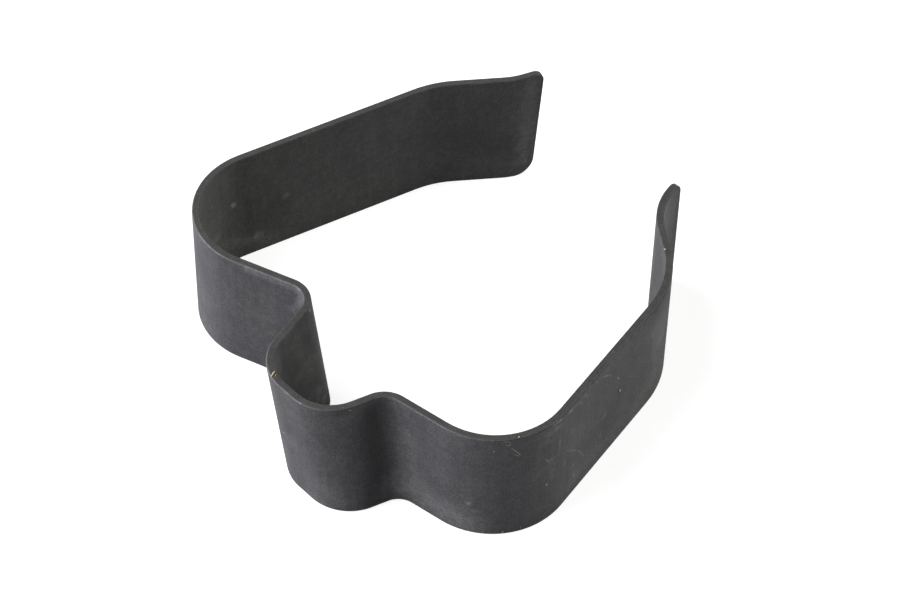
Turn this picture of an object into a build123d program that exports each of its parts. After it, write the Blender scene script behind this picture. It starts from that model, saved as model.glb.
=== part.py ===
from build123d import *
import os

os.makedirs("parts", exist_ok=True)

# Lengths are in mm and angles in degrees. The clip stands on the lower edge of its strip, with the hump
# in front (-Y) and the mouth between its two tips behind (+Y). The origin is the middle of the hump's
# crown, on the strip's inner face at its lower edge.

# Spring strip
strip_width = 12.0
strip_thickness = 0.65
rolled_edge_radius = 0.15  # round the outer face, where shearing rolled the edge over
inner_edge_chamfer = 0.06  # round the inner face, where the burr was taken off
lower_tip_radius = 1.8  # corners of the tips, at the strip's lower and upper edge
upper_tip_radius = 0.8

# Bend radii, each on the hollow side of its bend
hump_radius = 3.5
shoulder_radius = 1.8
corner_radius = 6.2
knee_radius = 8.8
lip_radius = 5.8

# Hump, the channel between the two shoulders. From the lower edge to the upper one it leans to the left,
# along the line of the left shoulder, so the runs beside it are those at the lower edge.
crown_flat = 1.6
hump_turn = 74.0
hump_lean = 1.6

# Right arm, from the hump to its tip: the turn of each bend, and the flat run after it
right_flank = 1.45
right_shoulder_turn = 63.5
right_shoulder = 2.9
right_corner_turn = 92.5
right_leg = 13.2
right_knee_turn = 44.0
right_lead_in = 1.9
right_lip_turn = 50.5
right_tip = 0.4

# Left arm, the longer one, with its tip cut a little out of square: it is longer at the upper edge
left_flank = 3.7
left_shoulder_turn = 94.5
left_shoulder = 6.9
left_corner_turn = 124.5
left_leg = 16.7
left_knee_turn = 22.5
left_lead_in = 4.3
left_lip_turn = 16.5
left_tip = 1.0
left_tip_slant = 0.8

# Each step along an arm is the turn of a bend, its hollow radius and the flat run after it. A turn
# towards the inside of the clip is positive.
right_arm = [
    (hump_turn, hump_radius, right_flank),
    (-right_shoulder_turn, shoulder_radius, right_shoulder),
    (right_corner_turn, corner_radius, right_leg),
    (right_knee_turn, knee_radius, right_lead_in),
    (-right_lip_turn, lip_radius, right_tip),
]
left_arm = [
    (hump_turn, hump_radius, left_flank),
    (-left_shoulder_turn, shoulder_radius, left_shoulder),
    (left_corner_turn, corner_radius, left_leg),
    (left_knee_turn, knee_radius, left_lead_in),
    (-left_lip_turn, lip_radius, left_tip),
]


def draw_arm(side, arm, depth, lean, tip_extra):
    # one face of an arm, from the crown to the tip, at a depth below the strip's inner face;
    # the flank and the shoulder take up what the hump leans, so the rest of the arm stays upright
    shoulder_turn = arm[1][0]
    flank_way = Vector(side, 0).rotate(Axis.Z, side * hump_turn)
    shoulder_way = flank_way.rotate(Axis.Z, side * shoulder_turn)
    across = flank_way.cross(shoulder_way).Z
    flank_extra = shoulder_way.cross(lean).Z / across
    shoulder_extra = -flank_way.cross(lean).Z / across
    extras = [flank_extra, shoulder_extra, 0, 0, tip_extra]
    start = lean + Vector(side * crown_flat / 2, -depth)
    heading = Vector(side, 0)
    for (turn, hollow_radius, run), extra in zip(arm, extras):
        radius = hollow_radius + (depth if turn > 0 else strip_thickness - depth)
        bend = JernArc(start, heading, radius, side * turn)
        flat = PolarLine(bend @ 1, run + extra, direction=bend % 1)
        start = flat @ 1
        heading = flat % 1
    return start


def draw_face(depth, lean, slant):
    # one face of the strip, from tip to tip
    Line(lean + Vector(-crown_flat / 2, -depth), lean + Vector(crown_flat / 2, -depth))
    return draw_arm(-1, left_arm, depth, lean, slant), draw_arm(1, right_arm, depth, lean, 0)


# The strip is ruled from the outline of its lower edge to that of its upper one
with BuildPart() as clip:
    tip_corners = []
    for height, tip_radius in ((0, lower_tip_radius), (strip_width, upper_tip_radius)):
        rise = height / strip_width
        lean = Vector(-hump_lean * rise, 0).rotate(Axis.Z, left_shoulder_turn - hump_turn)
        slant = left_tip_slant * rise
        with BuildSketch(Plane.XY.offset(height)):
            with BuildLine():
                inner_tips = draw_face(0, lean, slant)
                outer_tips = draw_face(strip_thickness, lean, slant)
                for inner_tip, outer_tip in zip(inner_tips, outer_tips):
                    tip = Line(inner_tip, outer_tip)
                    tip_corners.append((tip @ 0.5 + Vector(0, 0, height), tip_radius))
            make_face()
    loft(ruled=True)
    for middle, tip_radius in tip_corners:
        fillet(clip.edges().sort_by_distance(middle)[0], radius=tip_radius)
    # each face's edges are one tangent loop, from the crown round both tips and back
    fillet(clip.edges().sort_by_distance(Vector(0, -strip_thickness))[0], radius=rolled_edge_radius)
    chamfer(clip.edges().sort_by_distance(Vector(0, 0))[0], length=inner_edge_chamfer)

clip.part.label = "clip"
export_step(clip.part, "parts/clip.step")
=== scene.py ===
# The looks of a wire clip, bent from one flat strip of blackened spring steel
import math

import bmesh
import bpy
from mathutils import Euler, Matrix, Vector, noise


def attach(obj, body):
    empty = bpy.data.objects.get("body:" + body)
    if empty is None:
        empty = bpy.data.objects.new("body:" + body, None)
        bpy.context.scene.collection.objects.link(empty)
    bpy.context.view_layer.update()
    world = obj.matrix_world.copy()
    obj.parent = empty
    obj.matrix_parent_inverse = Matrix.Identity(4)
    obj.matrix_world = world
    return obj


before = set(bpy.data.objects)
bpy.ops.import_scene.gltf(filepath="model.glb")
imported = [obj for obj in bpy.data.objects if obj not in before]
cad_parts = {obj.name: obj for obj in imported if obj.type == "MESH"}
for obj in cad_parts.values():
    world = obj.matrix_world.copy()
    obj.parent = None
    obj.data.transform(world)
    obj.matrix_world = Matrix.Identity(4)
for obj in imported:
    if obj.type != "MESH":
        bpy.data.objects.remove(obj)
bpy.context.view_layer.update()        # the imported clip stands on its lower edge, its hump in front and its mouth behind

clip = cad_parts["clip"]
mm = 0.001
print("clip loaded,", len(clip.data.polygons), "faces")


# Camera, fitted to the outline of the clip in the photo

cameraView = {
    "azimuth": 46.306,      # degrees round the clip, from its front towards its right side
    "elevation": 48.657,    # degrees above the floor
    "roll": 1.258,
    "lens": 128.58,         # mm, with the sensor below
    "sensor": 36.0,
    "aim": (-0.963, 16.016, 10.239),    # mm, the point in the middle of the picture
    "distance": 261.56,     # mm from there
    "near": 0.01,           # metres, the nearest and the farthest that it sees
    "far": 20,
    "width": 900,           # pixels of the photo
    "height": 600,
}


def addAimed(data, azimuth, elevation, aim, distance, roll=0.0):
    # a camera or lamp that looks at a point from that side, with lengths in mm
    tilt = Euler((math.radians(90 - elevation), 0, math.radians(azimuth))).to_matrix()
    turn = tilt @ Matrix.Rotation(math.radians(roll), 3, "Z")
    place = (Vector(aim) + turn.col[2] * distance) * mm
    aimed = bpy.data.objects.new(data.name, data)
    bpy.context.scene.collection.objects.link(aimed)
    aimed.matrix_world = Matrix.Translation(place) @ turn.to_4x4()
    return aimed


def makeCamera(view):
    data = bpy.data.cameras.new("photoCamera")
    data.lens = view["lens"]
    data.sensor_width = view["sensor"]
    data.clip_start = view["near"]
    data.clip_end = view["far"]
    camera = addAimed(data, view["azimuth"], view["elevation"], view["aim"], view["distance"], view["roll"])
    bpy.context.scene.camera = camera
    return camera


def seat(pixel):
    # the place on the clip that a pixel of the photo shows, and the way the surface faces there
    view = cameraView
    focal = view["lens"] / view["sensor"] * view["width"]
    across = (pixel[0] - view["width"] / 2) / focal
    up = (view["height"] / 2 - pixel[1]) / focal
    way = camera.matrix_world.to_3x3() @ Vector((across, up, -1))
    hit, point, normal, _ = clip.ray_cast(camera.matrix_world.translation, way.normalized())
    if not hit:
        raise ValueError(f"pixel {pixel} is beside the clip")
    return point, normal


camera = makeCamera(cameraView)
print("camera placed")


# Shader helpers

def newMaterial(name):
    material = bpy.data.materials.new(name)
    material.use_nodes = True
    return material, material.node_tree, material.node_tree.nodes["Principled BSDF"]


def addNode(tree, kind, inputs=None, **settings):
    # inputs go by name or number: a socket is linked, and anything else is set as the value
    node = tree.nodes.new(kind)
    for name, value in settings.items():
        setattr(node, name, value)
    for name, value in (inputs or {}).items():
        if isinstance(value, bpy.types.NodeSocket):
            tree.links.new(value, node.inputs[name])
        else:
            node.inputs[name].default_value = value
    return node


def calc(tree, operation, first, second=0.0):
    return addNode(tree, "ShaderNodeMath", {0: first, 1: second}, operation=operation).outputs[0]


def vectorCalc(tree, operation, first, second=(0, 0, 0)):
    node = addNode(tree, "ShaderNodeVectorMath", {0: first, 1: second}, operation=operation)
    return node.outputs["Value" if operation in ("LENGTH", "DISTANCE", "DOT_PRODUCT") else "Vector"]


def ease(tree, value, low, high, atLow=0.0, atHigh=1.0):
    # goes softly from one value to the other while the input goes from low to high
    inputs = {"Value": value, "From Min": low, "From Max": high, "To Min": atLow, "To Max": atHigh}
    return addNode(tree, "ShaderNodeMapRange", inputs, interpolation_type="SMOOTHSTEP").outputs["Result"]


def fade(tree, value, low, high):
    # the same from 1 down to 0
    return ease(tree, value, low, high, 1.0, 0.0)


def strongest(tree, masks):
    result = masks[0]
    for mask in masks[1:]:
        result = calc(tree, "MAXIMUM", result, mask)
    return result


def mixColour(tree, share, first, second):
    inputs = {0: share, 6: first, 7: second}
    return addNode(tree, "ShaderNodeMix", inputs, data_type="RGBA").outputs[2]


def addRelief(tree, shader, height, strength, depth):
    # the depth is in mm
    inputs = {"Strength": strength, "Distance": depth * mm, "Height": height}
    tree.links.new(addNode(tree, "ShaderNodeBump", inputs).outputs["Normal"], shader.inputs["Normal"])


def newGroup(name, sockets, result):
    # sockets are the inputs' names with their starting values, and the one output is a number
    tree = bpy.data.node_groups.new(name, "ShaderNodeTree")
    for socketName, value in sockets.items():
        kind = "NodeSocketVector" if isinstance(value, tuple) else "NodeSocketFloat"
        tree.interface.new_socket(socketName, in_out="INPUT", socket_type=kind).default_value = value
    tree.interface.new_socket(result, in_out="OUTPUT", socket_type="NodeSocketFloat")
    return tree, tree.nodes.new("NodeGroupInput").outputs, tree.nodes.new("NodeGroupOutput").inputs


def addGroup(tree, group, values):
    return addNode(tree, "ShaderNodeGroup", values, node_tree=group).outputs[0]


def millimetres(tree):
    place = addNode(tree, "ShaderNodeTexCoord").outputs["Object"]
    return vectorCalc(tree, "MULTIPLY", place, (1 / mm, 1 / mm, 1 / mm))


# Surface effects, each a node group that works in mm

effectLook = {
    "mottleRoughness": 0.6,
    "mottleRange": (0.28, 0.72),    # the part of the noise that goes from 0 to 1
    "hairlineSway": 1.5,            # how far the cell borders are bent, in cells
    "hairlineLimit": 0.8,           # the noise above which hairlines are kept where their share is 0
    "hairlineGain": 0.6,            # how much that falls where it is 1
    "hairlineFade": 0.1,
    "patchRange": (0.2, 1.15),      # where a patch begins and ends to fade, as shares of its radius
    "patchRagged": 0.45,            # how far the mottle moves its border
}


def makeMottle(look):
    # soft blotches from 0 to 1, drawn out along an axis where the stretch is under 1
    sockets = {"Size": 1.0, "Detail": 3.0, "Stretch": (1, 1, 1)}
    tree, given, result = newGroup("mottle", sockets, "Value")
    place = vectorCalc(tree, "MULTIPLY", millimetres(tree), given["Stretch"])
    inputs = {
        "Vector": place,
        "Scale": calc(tree, "DIVIDE", 1.0, given["Size"]),
        "Detail": given["Detail"],
        "Roughness": look["mottleRoughness"],
    }
    blotches = addNode(tree, "ShaderNodeTexNoise", inputs).outputs[0]
    tree.links.new(ease(tree, blotches, *look["mottleRange"]), result["Value"])
    return tree


def makeHairlines(look):
    # sparse fine scratches: bent cell borders, kept only in patches
    sockets = {"Spacing": 2.0, "Width": 0.03, "Share": 0.3, "Stretch": (1, 1, 1)}
    tree, given, result = newGroup("hairlines", sockets, "Mask")
    place = vectorCalc(tree, "MULTIPLY", millimetres(tree), given["Stretch"])
    scale = calc(tree, "DIVIDE", 1.0, given["Spacing"])
    noiseNode = addNode(tree, "ShaderNodeTexNoise", {"Vector": place, "Scale": scale, "Detail": 1.0})
    sway = vectorCalc(tree, "MULTIPLY", noiseNode.outputs[1], (look["hairlineSway"],) * 3)
    inputs = {"Vector": vectorCalc(tree, "ADD", place, sway), "Scale": scale}
    cells = addNode(tree, "ShaderNodeTexVoronoi", inputs, feature="DISTANCE_TO_EDGE")
    distance = calc(tree, "MULTIPLY", cells.outputs["Distance"], given["Spacing"])
    line = fade(tree, distance, 0.0, given["Width"])
    gain = calc(tree, "MULTIPLY", given["Share"], look["hairlineGain"])
    limit = calc(tree, "SUBTRACT", look["hairlineLimit"], gain)
    kept = ease(tree, noiseNode.outputs[0], limit, calc(tree, "ADD", limit, look["hairlineFade"]))
    tree.links.new(calc(tree, "MULTIPLY", line, kept), result["Mask"])
    return tree


def makeDust():
    # tiny pale specks of many sizes
    sockets = {"Spacing": 1.0, "Size": 0.1, "Share": 0.3}
    tree, given, result = newGroup("dust", sockets, "Mask")
    scale = calc(tree, "DIVIDE", 1.0, given["Spacing"])
    cells = addNode(tree, "ShaderNodeTexVoronoi", {"Vector": millimetres(tree), "Scale": scale})
    distance = calc(tree, "MULTIPLY", cells.outputs["Distance"], given["Spacing"])
    chance = addNode(tree, "ShaderNodeSeparateColor", {0: cells.outputs["Color"]}).outputs
    radius = calc(tree, "MULTIPLY", calc(tree, "MULTIPLY", given["Size"], 0.5), chance["Green"])
    kept = calc(tree, "LESS_THAN", chance["Red"], given["Share"])
    tree.links.new(calc(tree, "MULTIPLY", fade(tree, distance, 0.0, radius), kept), result["Mask"])
    return tree


def makeStroke():
    # a line from one point of the surface to another
    sockets = {"From": (0, 0, 0), "To": (1, 0, 0), "Width": 0.06}
    tree, given, result = newGroup("stroke", sockets, "Mask")
    span = vectorCalc(tree, "SUBTRACT", given["To"], given["From"])
    start = vectorCalc(tree, "SUBTRACT", millimetres(tree), given["From"])
    reach = vectorCalc(tree, "DOT_PRODUCT", span, span)
    share = calc(tree, "DIVIDE", vectorCalc(tree, "DOT_PRODUCT", start, span), reach)
    share = addNode(tree, "ShaderNodeClamp", {0: share}).outputs[0]
    along = addNode(tree, "ShaderNodeVectorMath", {0: span, "Scale": share}, operation="SCALE").outputs[0]
    distance = vectorCalc(tree, "LENGTH", vectorCalc(tree, "SUBTRACT", start, along))
    tree.links.new(fade(tree, distance, 0.0, given["Width"]), result["Mask"])
    return tree


def makePatch(look):
    # a soft round smudge, its border made ragged by a mottle
    sockets = {"Centre": (0, 0, 0), "Radius": 1.0, "Mottle": 0.5}
    tree, given, result = newGroup("patch", sockets, "Mask")
    distance = vectorCalc(tree, "DISTANCE", millimetres(tree), given["Centre"])
    share = calc(tree, "DIVIDE", distance, given["Radius"])
    share = calc(tree, "ADD", share, calc(tree, "MULTIPLY", given["Mottle"], look["patchRagged"]))
    tree.links.new(fade(tree, share, *look["patchRange"]), result["Mask"])
    return tree


effects = {
    "mottle": makeMottle(effectLook),
    "hairlines": makeHairlines(effectLook),
    "dust": makeDust(),
    "stroke": makeStroke(),
    "patch": makePatch(effectLook),
}
print("effects made:", ", ".join(effects))


# Blackened steel of the strip

steelLook = {
    "outsideColour": (0.083, 0.0815, 0.087, 1),
    "insideColour": (0.077, 0.077, 0.0765, 1),
    "cutColour": (0.040, 0.040, 0.0375, 1),     # the sheared edge
    "oliveColour": (0.088, 0.0875, 0.079, 1),   # where the coat has gone warmer
    "paintedHighlightColour": (0.18, 0.18, 0.183, 1),       # painted highlight on the rolled edge, at its front left, broken up in patches
    "shadedRimColour": (0.032, 0.032, 0.032, 1),      # painted shade on the same edge on its other sides
    "scratchColour": (0.26, 0.25, 0.235, 1),
    # pale haze of real smudges, also used for painted light
    "hazeColour": (0.28, 0.28, 0.28, 1),
    "hollowColour": (0.026, 0.026, 0.027, 1),   # painted shade inside the hump
    "foldColour": (0.027, 0.027, 0.028, 1),     # painted shade in the tight fold beside it
    "dustColour": (0.50, 0.49, 0.47, 1),

    # the sides of the strip, told apart by where the surface faces
    "middle": (-4.4, 17.0, 0.0),                # mm, the outer face looks away from here all round
    "sideFade": 0.5,                            # mm
    "cutTilt": (0.85, 0.98),                    # how level the sheared edge lies, from its border on
    "rimTilt": ((0.1, 0.45), (0.7, 0.93)),      # and the rolled edge, at its lower and upper border
    "highlightWay": (-0.42, -0.91, 0.0),           # the way that the painted highlight on the rolled edge faces
    "besideWay": (0.91, -0.42, 0.0),            # square to that
    "highlightFacing": (0.5, 0.66),                # how much it faces that way and the one beside it
    "highlightAside": (-0.52, -0.44),
    "rimShadeFacing": (0.15, 0.4),                  # and where the rolled edge gets painted shade instead
    "rimShadeAside": (-0.5, -0.35),

    # how much of each look shows
    "hollow": ((-1.2, 3.6, 6.0), 13.0),         # middle and reach of the painted shade in the hump, in mm
    "warmth": (0.15, 0.3),                      # share of the warm clouds, inside and outside
    "rimShadeShare": 0.85,
    "highlightShare": (0.3, 0.85, 0.08, 0.58),     # from and to which mottle, and the share of the painted highlight at each
    "hairlineShare": 0.09,
    "dustShare": 0.22,

    # each mottle of the coat, and how far it swings the shade either way
    "mottles": {
        "grain": ({"Size": 0.11, "Detail": 2.0}, 0.25),
        "blotch": ({"Size": 0.7, "Detail": 4.0}, 0.11),
        "cloud": ({"Size": 5.0, "Detail": 3.0}, 0.07),
        "streak": ({"Size": 0.5, "Detail": 3.0, "Stretch": (1, 1, 0.06)}, 0.05),
        "rolling": ({"Size": 0.22, "Detail": 3.0, "Stretch": (0.07, 0.07, 1)}, 0.025),
    },
    # the mottle that breaks the painted highlight up in patches
    "highlightMottle": {"Size": 1.1, "Detail": 4.0},
    "ragged": {"Size": 0.35, "Detail": 3.0},    # borders of the smudges
    "gaps": {"Size": 0.3, "Detail": 2.0},       # gaps in the lines
    "gapRange": (0.1, 0.5),
    "hairlines": [
        {"Spacing": 2.6, "Width": 0.05, "Share": 0.42},
        {"Spacing": 5.0, "Width": 0.05, "Share": 0.4, "Stretch": (1, 1, 0.5)},
    ],
    "dust": {"Spacing": 1.3, "Size": 0.22, "Share": 0.3},

    # gloss and relief
    "roughness": 0.52,
    "roughnessSwing": 0.05,
    "highlightSmoother": 0.14,
    "cutRougher": 0.05,
    "highlightMetallic": 0.2,
    "specular": 0.17,
    "reliefShares": {"grain": 0.35, "blotch": 0.5, "lines": 0.5},
    "reliefStrength": 0.35,
    "reliefDepth": 0.012,                       # mm

    # each kind of line in the marks below: its colour, and the share of it that the gaps take
    "lineKinds": {
        "darkFolds": ("foldColour", 0.0),
        "hazeBands": ("hazeColour", 0.4),
        "scratches": ("scratchColour", 0.65),
    },
    # pixels of the photo along each scratch, its width in mm and its strength
    "scratches": [
        # rubbed dashes below the right leg's outer edge
        ([(554.3, 424.5), (561.4, 419.5)], 0.2, 0.75),
        ([(569.5, 412.5), (572, 410)], 0.24, 0.95),
        ([(574.3, 407.4), (580.7, 401.7), (582.6, 405)], 0.2, 0.33),
        ([(588.8, 389.8), (589.8, 387.4)], 0.2, 0.35),
        ([(596.4, 383.6), (597.4, 380.7)], 0.16, 0.3),
        ([(603.6, 377.1), (607, 375.8), (610.5, 375.4)], 0.14, 0.5),
        ([(625.7, 376.4), (634.3, 376)], 0.12, 0.15),
        ([(625, 345), (628, 339.5)], 0.2, 0.2),
        # lower on that leg
        ([(560.3, 440), (559.7, 447.1), (558.1, 455.3)], 0.14, 0.45),
        ([(567.1, 451.4), (570.7, 450.3), (576.4, 450.3), (580.7, 452.1), (583.6, 455.7)], 0.13, 0.35),
        ([(545.7, 459.3), (550, 462.9)], 0.13, 0.5),
        ([(545.5, 463), (550, 460), (555.7, 456.4)], 0.14, 0.4),
        ([(553.6, 470), (555.7, 462.9)], 0.12, 0.25),
        ([(564.3, 460), (565, 465.7)], 0.12, 0.22),
        ([(572.1, 472.9), (574.3, 476.4)], 0.14, 0.25),
        ([(606.4, 416.4), (599.3, 420.7), (593.6, 425.7), (590, 428.6)], 0.16, 0.16),
        ([(600.7, 432.9), (600, 438.6)], 0.12, 0.22),
        # on the corner before it
        ([(546.7, 443.3), (556.7, 438.3)], 0.3, 0.12),
        ([(540, 471.7), (548, 466), (555, 458.3)], 0.3, 0.1),
        ([(473.3, 510), (480, 512.5)], 0.12, 0.22),
        ([(483.3, 471.7), (495, 475)], 0.14, 0.1),
    ],
    # pixel of the photo, radius in mm and strength: real smudges, and broad soft patches of painted light
    "smudgesAndLightPatches": [
        ((575, 440), 2.6, 0.10),
        ((604.3, 415.7), 0.5, 0.2),
        ((573.1, 465), 0.45, 0.25),
        ((585.7, 395.4), 0.3, 0.5),
        ((587.2, 397.4), 0.22, 0.3),
        ((582.2, 398.6), 0.2, 0.25),
        ((590.3, 384.3), 0.2, 0.4),
        ((597, 382), 0.22, 0.3),
        ((594.5, 377.5), 0.2, 0.25),
        ((601, 377.6), 0.25, 0.25),
        ((594.3, 400.6), 0.25, 0.2),
        ((590.4, 395), 0.2, 0.2),
        ((555.5, 461.5), 0.5, 0.14),
        ((553, 471), 0.6, 0.13),
        ((573.4, 475.5), 0.45, 0.2),
        ((564.5, 463.5), 0.4, 0.14),
        ((551.5, 477), 0.55, 0.1),
        ((557, 427.5), 0.45, 0.16),
        ((572.1, 431.4), 0.4, 0.16),
        ((468, 503.3), 0.45, 0.5),
        ((473, 511), 0.3, 0.25),
        ((455, 514), 0.9, 0.13),
        ((503.3, 468.3), 0.4, 0.1),
        # painted light: the shoulder beside the fold lighter, where the hump's shadow falls
        ((417, 482), 3.0, 0.10),
        ((417, 448), 3.6, 0.045),
        ((435, 470), 1.6, 0.06),
        ((324, 399), 0.8, 0.3),
        ((319, 391), 1.0, 0.16),
        ((318, 400.5), 0.6, 0.2),
        # painted light: the hump's hollow and lower part lighter
        ((301, 390), 3.2, 0.045),
        ((291, 441), 1.5, 0.17),
        ((326, 496), 3.5, 0.18),
        ((297, 468), 4.0, 0.07),
        ((233.5, 205), 0.5, 0.7),
        ((286.5, 195), 0.65, 0.32),
        ((258.5, 235), 0.8, 0.4),
        ((309.4, 310.6), 0.22, 0.5),
        ((546.2, 484.6), 0.24, 0.9),
        ((212, 207), 0.4, 0.2),
        ((216, 240), 1.1, 0.12),
        ((199.5, 279), 0.4, 0.25),
        ((204, 301), 0.7, 0.15),
        # painted light: the left corner lighter
        ((206, 322), 3.0, 0.07),
        ((206, 292), 3.6, 0.07),
        ((652.2, 336.5), 0.45, 0.45),
        ((660, 340), 1.2, 0.14),
        ((651, 333), 3.2, 0.05),
        ((636, 348), 0.4, 0.25),
        ((672, 212), 2.2, 0.07),
    ],
    # pixels of the photo along each fold where shade is painted into the coat, its width in mm and its
    # strength
    "darkFolds": [
        ([(371, 410), (376, 450), (379, 492)], 2.3, 0.85),
        ([(387, 474), (391, 493)], 0.9, 0.85),
        ([(336, 411), (350, 410)], 1.4, 0.36),
        ([(348, 425), (354, 462)], 1.6, 0.14),
        ([(462, 140), (498, 142)], 3.0, 0.3),
        ([(659, 255), (657, 275), (655, 300)], 3.0, 0.4),
    ],
    # pixels of the photo along each soft band of haze or painted light, its width in mm and its strength
    "hazeBands": [
        # painted highlight: a soft glow under the rolled edge
        ([(247, 269.5), (264, 276), (277, 281.5), (290, 286.5), (297.5, 291)], 0.7, 0.27),
        ([(298, 290), (301, 296.5), (299, 303), (293, 309.5)], 0.55, 0.25),
        # painted light: the lower parts lighter
        ([(400, 487), (430, 504), (448, 514), (466, 525)], 2.8, 0.3),
        ([(560, 490), (600, 448), (640, 402), (660, 368)], 3.0, 0.06),
        ([(574, 478), (600, 451), (640, 404), (654, 372), (660, 322)], 2.6, 0.18),
        ([(531, 84), (527, 120), (522, 160)], 1.2, 0.16),
        ([(228, 244), (246, 241), (270, 239)], 1.3, 0.18),
        ([(548.6, 435.7), (555.7, 430), (560, 426.4)], 0.6, 0.16),
        ([(542.5, 444.3), (548.6, 440)], 0.5, 0.1),
        # painted light beside the fold, where the hump's shadow falls
        ([(402, 444), (403, 474)], 0.9, 0.14),
        ([(408, 436), (413, 462), (417, 488)], 1.7, 0.16),
    ],
}


def stripSides(tree, look):
    # which side of the strip is shaded: outer face, sheared edge, and the rolled edge between them, split
    # into the part with a painted highlight and the parts with painted shade
    normal = addNode(tree, "ShaderNodeTexCoord").outputs["Normal"]
    outward = vectorCalc(tree, "SUBTRACT", millimetres(tree), look["middle"])
    level = vectorCalc(tree, "MULTIPLY", normal, (1, 1, 0))
    facing = vectorCalc(tree, "DOT_PRODUCT", level, outward)
    outside = ease(tree, facing, -look["sideFade"], look["sideFade"])
    tilt = calc(tree, "ABSOLUTE", addNode(tree, "ShaderNodeSeparateXYZ", {0: normal}).outputs["Z"])
    lower, upper = look["rimTilt"]
    rim = calc(tree, "MULTIPLY", ease(tree, tilt, *lower), fade(tree, tilt, *upper))
    along = vectorCalc(tree, "DOT_PRODUCT", level, look["highlightWay"])
    aside = vectorCalc(tree, "DOT_PRODUCT", level, look["besideWay"])
    # the painted highlight, on the rolled edge where it faces front left
    highlit = ease(tree, along, *look["highlightFacing"])
    highlit = calc(tree, "MULTIPLY", highlit, ease(tree, aside, *look["highlightAside"]))
    highlit = calc(tree, "MULTIPLY", highlit, calc(tree, "MULTIPLY", rim, outside))
    # painted shade on the rolled edge where it faces elsewhere
    rimShade = strongest(tree, [fade(tree, along, *look["rimShadeFacing"]), fade(tree, aside, *look["rimShadeAside"])])
    return {
        "outside": outside,
        "cut": ease(tree, tilt, *look["cutTilt"]),
        "highlit": highlit,
        "rimShade": calc(tree, "MULTIPLY", rim, rimShade),
    }


def addStrokes(tree, strokes, gaps, share):
    # lines through pixels of the photo as one mask, with a share of the gaps in them
    masks = []
    for pixels, width, strength in strokes:
        points = [seat(pixel)[0] / mm for pixel in pixels]
        for first, last in zip(points, points[1:]):
            stroke = addGroup(tree, effects["stroke"], {"From": first, "To": last, "Width": width})
            masks.append(calc(tree, "MULTIPLY", stroke, strength))
    kept = calc(tree, "SUBTRACT", 1.0, calc(tree, "MULTIPLY", gaps, share))
    return calc(tree, "MULTIPLY", strongest(tree, masks), kept)


def addMarksShadeAndLight(tree, colour, look):
    # the smudges and lines of the photo, with painted shade and painted light among them, each where its
    # pixels fall on the strip
    ragged = addGroup(tree, effects["mottle"], look["ragged"])
    masks = []
    for pixel, radius, strength in look["smudgesAndLightPatches"]:
        values = {"Centre": seat(pixel)[0] / mm, "Radius": radius, "Mottle": ragged}
        masks.append(calc(tree, "MULTIPLY", addGroup(tree, effects["patch"], values), strength))
    colour = mixColour(tree, strongest(tree, masks), colour, look["hazeColour"])
    gaps = fade(tree, addGroup(tree, effects["mottle"], look["gaps"]), *look["gapRange"])
    for kind, (tint, share) in look["lineKinds"].items():
        mask = addStrokes(tree, look[kind], gaps, share)
        colour = mixColour(tree, mask, colour, look[tint])
    return colour


def addCoat(tree, sides, mottles, look):
    # the coat of each side with painted shade in the hump, warmer in clouds, then its marks with painted
    # shade and light among them, its edges with painted shade on the rolled edge, its blotches and grain
    middle, reach = look["hollow"]
    values = {"Centre": middle, "Radius": reach, "Mottle": mottles["cloud"]}
    hollow = addGroup(tree, effects["patch"], values)
    colour = mixColour(tree, hollow, look["insideColour"], look["hollowColour"])
    colour = mixColour(tree, sides["outside"], colour, look["outsideColour"])
    warmth = ease(tree, sides["outside"], 0, 1, *look["warmth"])
    warmth = calc(tree, "MULTIPLY", mottles["cloud"], warmth)
    colour = mixColour(tree, warmth, colour, look["oliveColour"])
    colour = addMarksShadeAndLight(tree, colour, look)
    colour = mixColour(tree, sides["cut"], colour, look["cutColour"])
    rimShade = calc(tree, "MULTIPLY", sides["rimShade"], look["rimShadeShare"])
    colour = mixColour(tree, rimShade, colour, look["shadedRimColour"])
    shade = 1.0
    for name, (_, swing) in look["mottles"].items():
        shade = calc(tree, "MULTIPLY", shade, ease(tree, mottles[name], 0, 1, 1 - swing, 1 + swing))
    shade = addNode(tree, "ShaderNodeCombineXYZ", {0: shade, 1: shade, 2: shade}).outputs[0]
    return vectorCalc(tree, "MULTIPLY", colour, shade)


def addHighlightAndWear(tree, colour, sides, look):
    # a painted highlight on the rolled edge, broken up in patches, and hairlines and dust all over
    highlightMottle = addGroup(tree, effects["mottle"], look["highlightMottle"])
    highlightMask = calc(tree, "MULTIPLY", sides["highlit"], ease(tree, highlightMottle, *look["highlightShare"]))
    colour = mixColour(tree, highlightMask, colour, look["paintedHighlightColour"])
    lines = strongest(tree, [addGroup(tree, effects["hairlines"], values) for values in look["hairlines"]])
    share = calc(tree, "MULTIPLY", lines, look["hairlineShare"])
    colour = mixColour(tree, share, colour, look["scratchColour"])
    share = calc(tree, "MULTIPLY", addGroup(tree, effects["dust"], look["dust"]), look["dustShare"])
    colour = mixColour(tree, share, colour, look["dustColour"])
    return colour, highlightMask, lines


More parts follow.
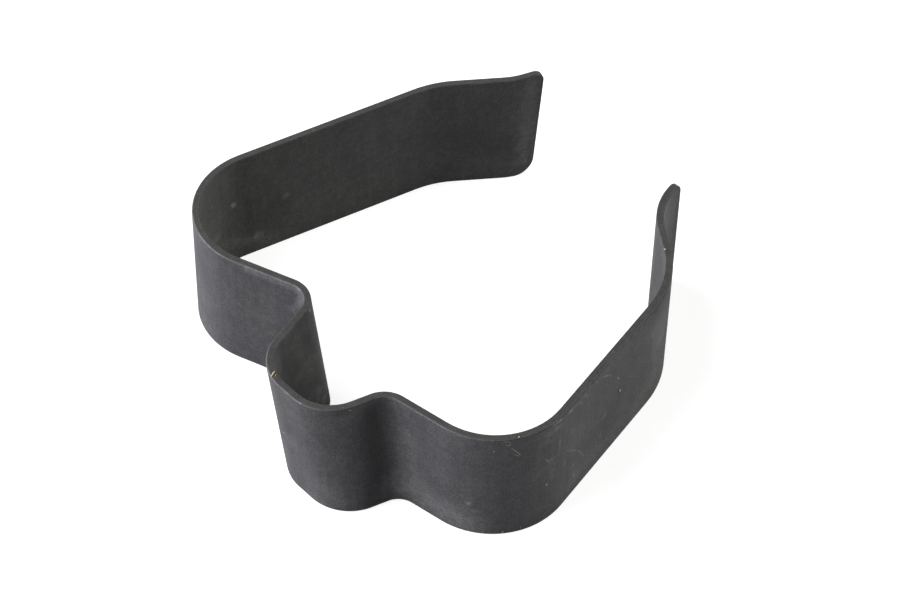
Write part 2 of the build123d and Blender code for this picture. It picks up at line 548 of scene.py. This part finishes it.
def makeSteel(look):
    material, tree, shader = newMaterial("blackenedSteel")
    sides = stripSides(tree, look)
    mottles = {}
    for name, (values, _) in look["mottles"].items():
        mottles[name] = addGroup(tree, effects["mottle"], values)
    colour = addCoat(tree, sides, mottles, look)
    colour, highlightMask, lines = addHighlightAndWear(tree, colour, sides, look)
    tree.links.new(colour, shader.inputs["Base Color"])

    # gloss: satin, smoother under the painted highlight
    smooth, rough = look["roughness"] - look["roughnessSwing"], look["roughness"] + look["roughnessSwing"]
    gloss = ease(tree, mottles["blotch"], 0, 1, smooth, rough)
    gloss = calc(tree, "SUBTRACT", gloss, calc(tree, "MULTIPLY", highlightMask, look["highlightSmoother"]))
    gloss = calc(tree, "ADD", gloss, calc(tree, "MULTIPLY", sides["cut"], look["cutRougher"]))
    tree.links.new(gloss, shader.inputs["Roughness"])
    metallic = calc(tree, "MULTIPLY", highlightMask, look["highlightMetallic"])
    tree.links.new(metallic, shader.inputs["Metallic"])
    shader.inputs["Specular IOR Level"].default_value = look["specular"]

    # relief: the grain of the coat, the blotches under it and the hairlines in it
    shares = look["reliefShares"]
    grain = calc(tree, "MULTIPLY", mottles["grain"], shares["grain"])
    height = calc(tree, "ADD", grain, calc(tree, "MULTIPLY", mottles["blotch"], shares["blotch"]))
    height = calc(tree, "SUBTRACT", height, calc(tree, "MULTIPLY", lines, shares["lines"]))
    addRelief(tree, shader, height, look["reliefStrength"], look["reliefDepth"])
    return material


clip.data.materials.clear()
clip.data.materials.append(makeSteel(steelLook))
print("steel made")


# Dirt on the clip

def makeDirt(name, look):
    # a rough material of two colours in a fine mottle
    material, tree, shader = newMaterial(name)
    shader.inputs["Roughness"].default_value = look["roughness"]
    mottle = addGroup(tree, effects["mottle"], look["mottle"])
    colour = mixColour(tree, mottle, look["darkColour"], look["colour"])
    tree.links.new(colour, shader.inputs["Base Color"])
    addRelief(tree, shader, mottle, look["reliefStrength"], look["reliefDepth"])
    return material


def addPiece(name, mesh, material):
    piece = bpy.data.objects.new(name, mesh)
    bpy.context.scene.collection.objects.link(piece)
    mesh.materials.clear()
    mesh.materials.append(material)
    return piece


# Lint threads, caught where the photo shows them

threadLook = {
    "colour": (0.80, 0.69, 0.42, 1),
    "darkColour": (0.45, 0.33, 0.20, 1),
    "roughness": 0.6,
    "mottle": {"Size": 0.15, "Detail": 2.0},
    "reliefStrength": 0.5,
    "reliefDepth": 0.01,    # mm
    "tipShare": 0.6,        # thickness of the ends, as a share of the rest
    "sides": 3,             # rounds of the bevel
    "steps": 8,             # along each bend
    # pixels of the photo along each thread, and its thickness in mm
    "threads": [
        ([(271.3, 377.0), (272.6, 374.4), (274.6, 371.8)], 0.11),
        ([(275.0, 376.6), (276.2, 374.8)], 0.05),
        ([(503.3, 442.4), (507, 441.6), (510.4, 442.2),
          (510.9, 444.8), (507.5, 445.8), (505.3, 444.4)], 0.016),
        ([(511.5, 448), (514, 449.7), (517.6, 452.4), (520.9, 455)], 0.024),
        ([(511.7, 453.4), (515, 455.2), (520.4, 455.8)], 0.012),
    ],
}


def makeLint(look):
    data = bpy.data.curves.new("lintThreads", "CURVE")
    data.dimensions = "3D"
    data.bevel_depth = mm / 2       # so that the radius of a point is the thickness in mm
    data.bevel_resolution = look["sides"]
    data.use_fill_caps = True
    for pixels, thickness in look["threads"]:
        spline = data.splines.new("NURBS")
        spline.points.add(len(pixels) - 1)
        for number, (point, pixel) in enumerate(zip(spline.points, pixels)):
            place, facing = seat(pixel)
            ends = number in (0, len(pixels) - 1)
            point.co = (*(place + facing * thickness * mm / 2), 1)
            point.radius = thickness * (look["tipShare"] if ends else 1)
        spline.order_u = min(3, len(pixels))
        spline.use_endpoint_u = True
        spline.resolution_u = look["steps"]
    curve = bpy.data.objects.new("lintCurve", data)
    bpy.context.scene.collection.objects.link(curve)
    bpy.context.view_layer.update()
    mesh = bpy.data.meshes.new_from_object(curve.evaluated_get(bpy.context.evaluated_depsgraph_get()))
    bpy.data.objects.remove(curve)
    return addPiece("lintThreads", mesh, makeDirt("lintThread", look))


lint = makeLint(threadLook)
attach(lint, "root")
print("lint made,", len(lint.data.polygons), "faces")


# Dust grains, each a small crumb pressed on the coat

grainLook = {
    "colour": (0.62, 0.61, 0.58, 1),
    "darkColour": (0.3, 0.29, 0.27, 1),
    "roughness": 0.85,
    "mottle": {"Size": 0.08, "Detail": 3.0},
    "reliefStrength": 0.5,
    "reliefDepth": 0.01,    # mm
    "rounds": 3,            # of a crumb's facets
    "lumps": 0.35,          # how uneven a crumb is, as a share of its radius
    "lumpScale": 1.3,       # and how finely
    "height": 0.45,         # how high it is, as a share of its width
    "sink": 0.5,            # how far it is sunk in, as a share of its height
    # pixel of the photo and size in mm
    "grains": [
        ((546.2, 484.6), 0.16),
        ((309.4, 310.6), 0.17),
        ((619.5, 390.4), 0.24),
        ((617.7, 378.2), 0.17),
        ((614, 352), 0.05),
        ((664.9, 249.4), 0.15),
        ((502.5, 532), 0.13),
        ((519, 437), 0.12),
        ((350, 410.3), 0.08),
        ((309.4, 398.6), 0.10),
        ((300.2, 403.4), 0.08),
        ((284.2, 432.6), 0.09),
        ((494.1, 451.7), 0.09),
        ((592.9, 421.3), 0.12),
        ((600.5, 433.6), 0.09),
        ((520.6, 528), 0.09),
        ((640, 388), 0.08),
    ],
}


def makeGrains(look):
    shape = bmesh.new()
    for pixel, size in look["grains"]:
        place, facing = seat(pixel)
        crumb = bmesh.ops.create_icosphere(shape, subdivisions=look["rounds"], radius=1)
        turn = facing.to_track_quat("Z", "Y").to_matrix()
        radius = size * mm / 2
        for vertex in crumb["verts"]:
            spot = vertex.co * look["lumpScale"] + Vector((*pixel, size))
            local = vertex.co * (1 + look["lumps"] * noise.noise(spot))
            local.z = (local.z + 1 - look["sink"]) * look["height"]
            vertex.co = turn @ local * radius + place
    for face in shape.faces:
        face.smooth = True
    mesh = bpy.data.meshes.new("dustGrains")
    shape.to_mesh(mesh)
    shape.free()
    return addPiece("dustGrains", mesh, makeDirt("dustGrain", look))


grains = makeGrains(grainLook)
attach(grains, "root")
print("dust grains made,", len(grains.data.polygons), "faces")


# Pale paper under the clip

paperLook = {
    "size": 4.0,            # metres
    "colour": (0.47, 0.47, 0.47, 1),
    "tintColour": (0.44, 0.443, 0.45, 1),
    "mottle": {"Size": 1.5, "Detail": 4.0},
    "roughness": 0.9,
    "specular": 0.1,
    "glow": 0.8,            # how white the paper shows by itself, so that the shadow stays faint
    "glossGlow": 0.1,       # the share of that in a gloss, where the shadow shows more
}


def whiteRays(tree, glossShare):
    # 1 for what the camera sees, and that share for what it sees in a gloss
    rays = addNode(tree, "ShaderNodeLightPath").outputs
    gloss = calc(tree, "MULTIPLY", rays["Is Glossy Ray"], glossShare)
    return strongest(tree, [rays["Is Camera Ray"], gloss, rays["Is Transmission Ray"]])


def makePaper(look):
    bpy.ops.mesh.primitive_plane_add(size=look["size"])
    paper = bpy.context.object
    paper.name = "paleFloor"
    material, tree, shader = newMaterial("palePaper")
    shader.inputs["Roughness"].default_value = look["roughness"]
    shader.inputs["Specular IOR Level"].default_value = look["specular"]
    mottle = addGroup(tree, effects["mottle"], look["mottle"])
    tree.links.new(mixColour(tree, mottle, look["tintColour"], look["colour"]), shader.inputs["Base Color"])
    shader.inputs["Emission Color"].default_value = (1, 1, 1, 1)
    glow = calc(tree, "MULTIPLY", whiteRays(tree, look["glossGlow"]), look["glow"])
    tree.links.new(glow, shader.inputs["Emission Strength"])
    paper.data.materials.append(material)


makePaper(paperLook)
print("paper laid")


# Light: a soft lamp on the left, a weak one on the right, and a dim white room

roomLight = {
    "strength": 0.02,           # of the room on the clip
    "aim": (0, 18, 6),          # mm, where both lamps point
    "distance": 600,            # mm from there
    # name, azimuth and elevation in degrees as for the camera, width and height in metres, watts, colour
    "lamps": [
        ("leftLamp", -43, 40, 0.6, 0.8, 8.9, (0.96, 0.95, 1.0)),
        ("rightLamp", 148, 26, 0.3, 0.3, 2.4, (1.0, 0.985, 0.94)),
    ],
}


def makeLight(look):
    for name, azimuth, elevation, width, height, watts, colour in look["lamps"]:
        data = bpy.data.lights.new(name, "AREA")
        data.shape = "RECTANGLE"
        data.size = width
        data.size_y = height
        data.energy = watts
        data.color = colour
        addAimed(data, azimuth, elevation, look["aim"], look["distance"])


def makeRoom(look):
    # white where it is seen, and dim where it lights the clip
    world = bpy.data.worlds.new("whiteRoom")
    bpy.context.scene.world = world
    world.use_nodes = True
    tree = world.node_tree
    dim = tree.nodes["Background"]
    dim.inputs["Color"].default_value = (1, 1, 1, 1)
    dim.inputs["Strength"].default_value = look["strength"]
    white = addNode(tree, "ShaderNodeBackground", {"Color": (1, 1, 1, 1), "Strength": 1.0})
    inputs = {0: whiteRays(tree, 1.0), 1: dim.outputs[0], 2: white.outputs[0]}
    mixed = addNode(tree, "ShaderNodeMixShader", inputs)
    tree.links.new(mixed.outputs[0], tree.nodes["World Output"].inputs["Surface"])


makeLight(roomLight)
makeRoom(roomLight)
bpy.context.scene.view_settings.view_transform = "Standard"
print("light set")
